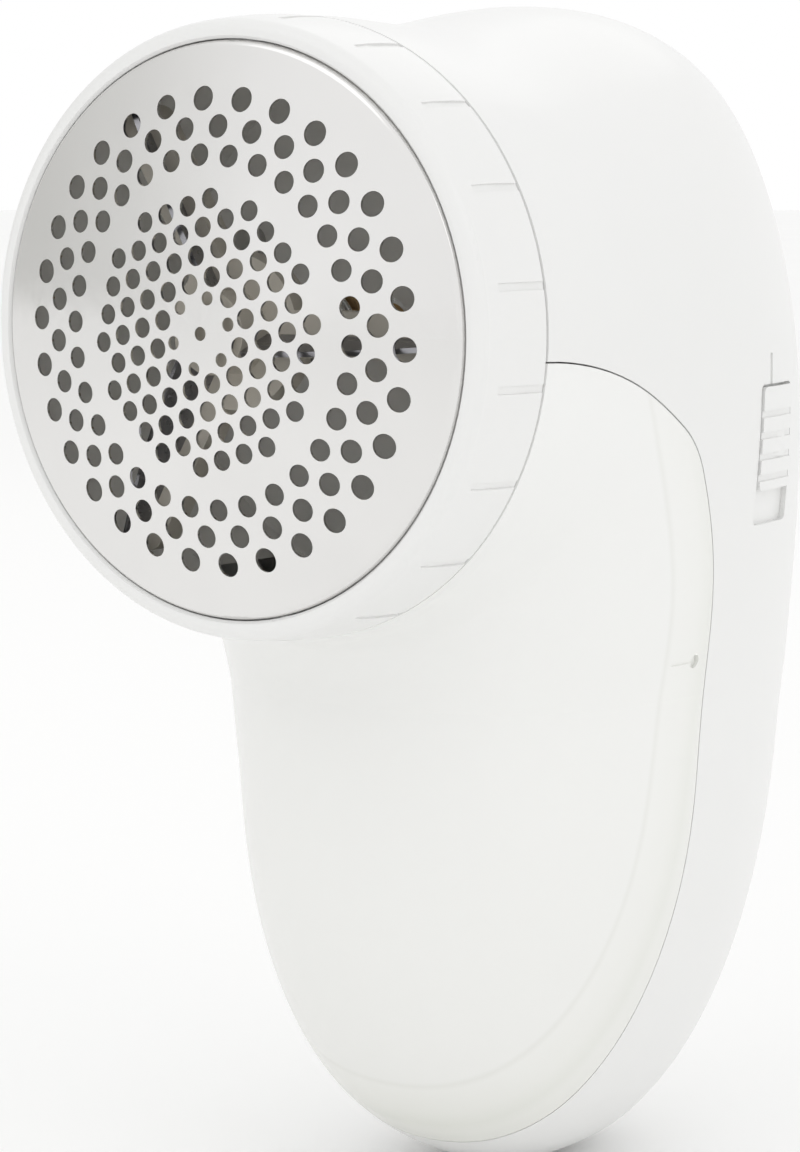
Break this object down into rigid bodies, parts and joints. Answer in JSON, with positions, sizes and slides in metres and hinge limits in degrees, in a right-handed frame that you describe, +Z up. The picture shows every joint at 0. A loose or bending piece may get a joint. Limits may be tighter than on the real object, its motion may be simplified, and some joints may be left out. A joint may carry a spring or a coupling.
{
  "type": "fabric shaver",
  "caption": "Battery handheld fabric shaver: domed perforated guard in a twist-off ring, spring-loaded rotary cutter, swing-off lint container, slide switch and battery door.",
  "frame": {"origin": "middle of the small flat at the tip of the handle", "axes": "+Z up along the handle to the head, -Y out of the cutting face, +X on the slide switch's side"},
  "size_m": [0.0698, 0.0961, 0.1413],
  "materials": {
    "guard_steel": "polished stainless sheet",
    "white_abs": "satin gloss moulding",
    "frosted_container": "frosted translucent moulding",
    "inner_abs": "matt inner moulding",
    "carrier_plastic": "matt",
    "blade_steel": "ground",
    "plated_steel": "zinc plated",
    "sintered_bronze": "sintered",
    "ferrite": "ground ferrite",
    "copper_winding": "enamelled",
    "black_plastic": "matt",
    "cell_jacket": "printed jacket, plain",
    "capacitor_ceramic": "dipped",
    "wire_red": "vinyl",
    "wire_black": "vinyl"
  },
  "bodies": {
    "housing": {"main_housing": "white_abs", "inner_frame": "inner_abs", "cutter_chamber": "inner_abs", "chamber_screws": "plated_steel", "frame_screws": "plated_steel", "motor_can": "plated_steel", "front_bushing": "sintered_bronze", "rear_bushing": "sintered_bronze", "motor_magnets": "ferrite", "motor_end_cap": "black_plastic", "motor_brushes": "ferrite", "motor_terminals": "plated_steel", "suppression_capacitor": "capacitor_ceramic", "motor_screws": "plated_steel", "battery_tray": "inner_abs", "battery_cell_1": "cell_jacket", "battery_cell_2": "cell_jacket", "battery_contact_link": "plated_steel", "battery_contact_positive": "plated_steel", "battery_contact_negative": "plated_steel", "battery_spring_1": "plated_steel", "battery_spring_2": "plated_steel", "slide_switch_body": "plated_steel", "slide_switch_terminals": "plated_steel", "switch_screws": "plated_steel", "wire_battery_to_switch": "wire_red", "wire_switch_to_motor": "wire_red", "wire_battery_to_motor": "wire_black"},
    "guard": {"foil_guard": "guard_steel"},
    "ring": {"retaining_ring": "white_abs"},
    "shaft": {"motor_shaft": "plated_steel", "motor_armature": "copper_winding", "shaft_collar": "sintered_bronze"},
    "cutter": {"blade_carrier": "carrier_plastic", "cutter_blade_1": "blade_steel", "cutter_blade_2": "blade_steel", "cutter_blade_3": "blade_steel", "blade_spring": "plated_steel"},
    "container": {"lint_container": "frosted_container"},
    "door": {"battery_door": "white_abs"},
    "switch": {"switch_knob": "white_abs", "switch_retainer": "inner_abs", "slide_switch_lever": "black_plastic"}
  },
  "joints": [
    {"name": "guard_lift", "type": "slide", "parent": "housing", "child": "guard", "axis": [0, -1, 0], "range_m": [0, 0.006]},
    {"name": "ring_twist", "type": "hinge", "parent": "guard", "child": "ring", "pos_m": [0, -0.06, 0.104], "axis": [0, -1, 0], "range_deg": [0, 60]},
    {"name": "cutter_spin", "type": "hinge", "parent": "housing", "child": "shaft", "pos_m": [0, -0.06, 0.104], "axis": [0, -1, 0], "continuous": true},
    {"name": "cutter_float", "type": "slide", "parent": "shaft", "child": "cutter", "axis": [0, 1, 0], "range_m": [0, 0.0012], "stiffness_N_per_m": 400, "springref_m": -0.004, "deforming": ["blade_spring"]},
    {"name": "container_swing", "type": "hinge", "parent": "housing", "child": "container", "pos_m": [0, -0.083, 0.052], "axis": [-1, 0, 0], "range_deg": [0, 30]},
    {"name": "door_pull", "type": "slide", "parent": "housing", "child": "door", "axis": [0, 1, 0], "range_m": [0, 0.015]},
    {"name": "switch_slide", "type": "slide", "parent": "housing", "child": "switch", "axis": [0, 0, -1], "range_m": [0, 0.0038]}
  ],
  "couplings": [
    {"joint": "ring_twist", "follows": "guard_lift", "rad_per_m": 174.53}
  ]
}
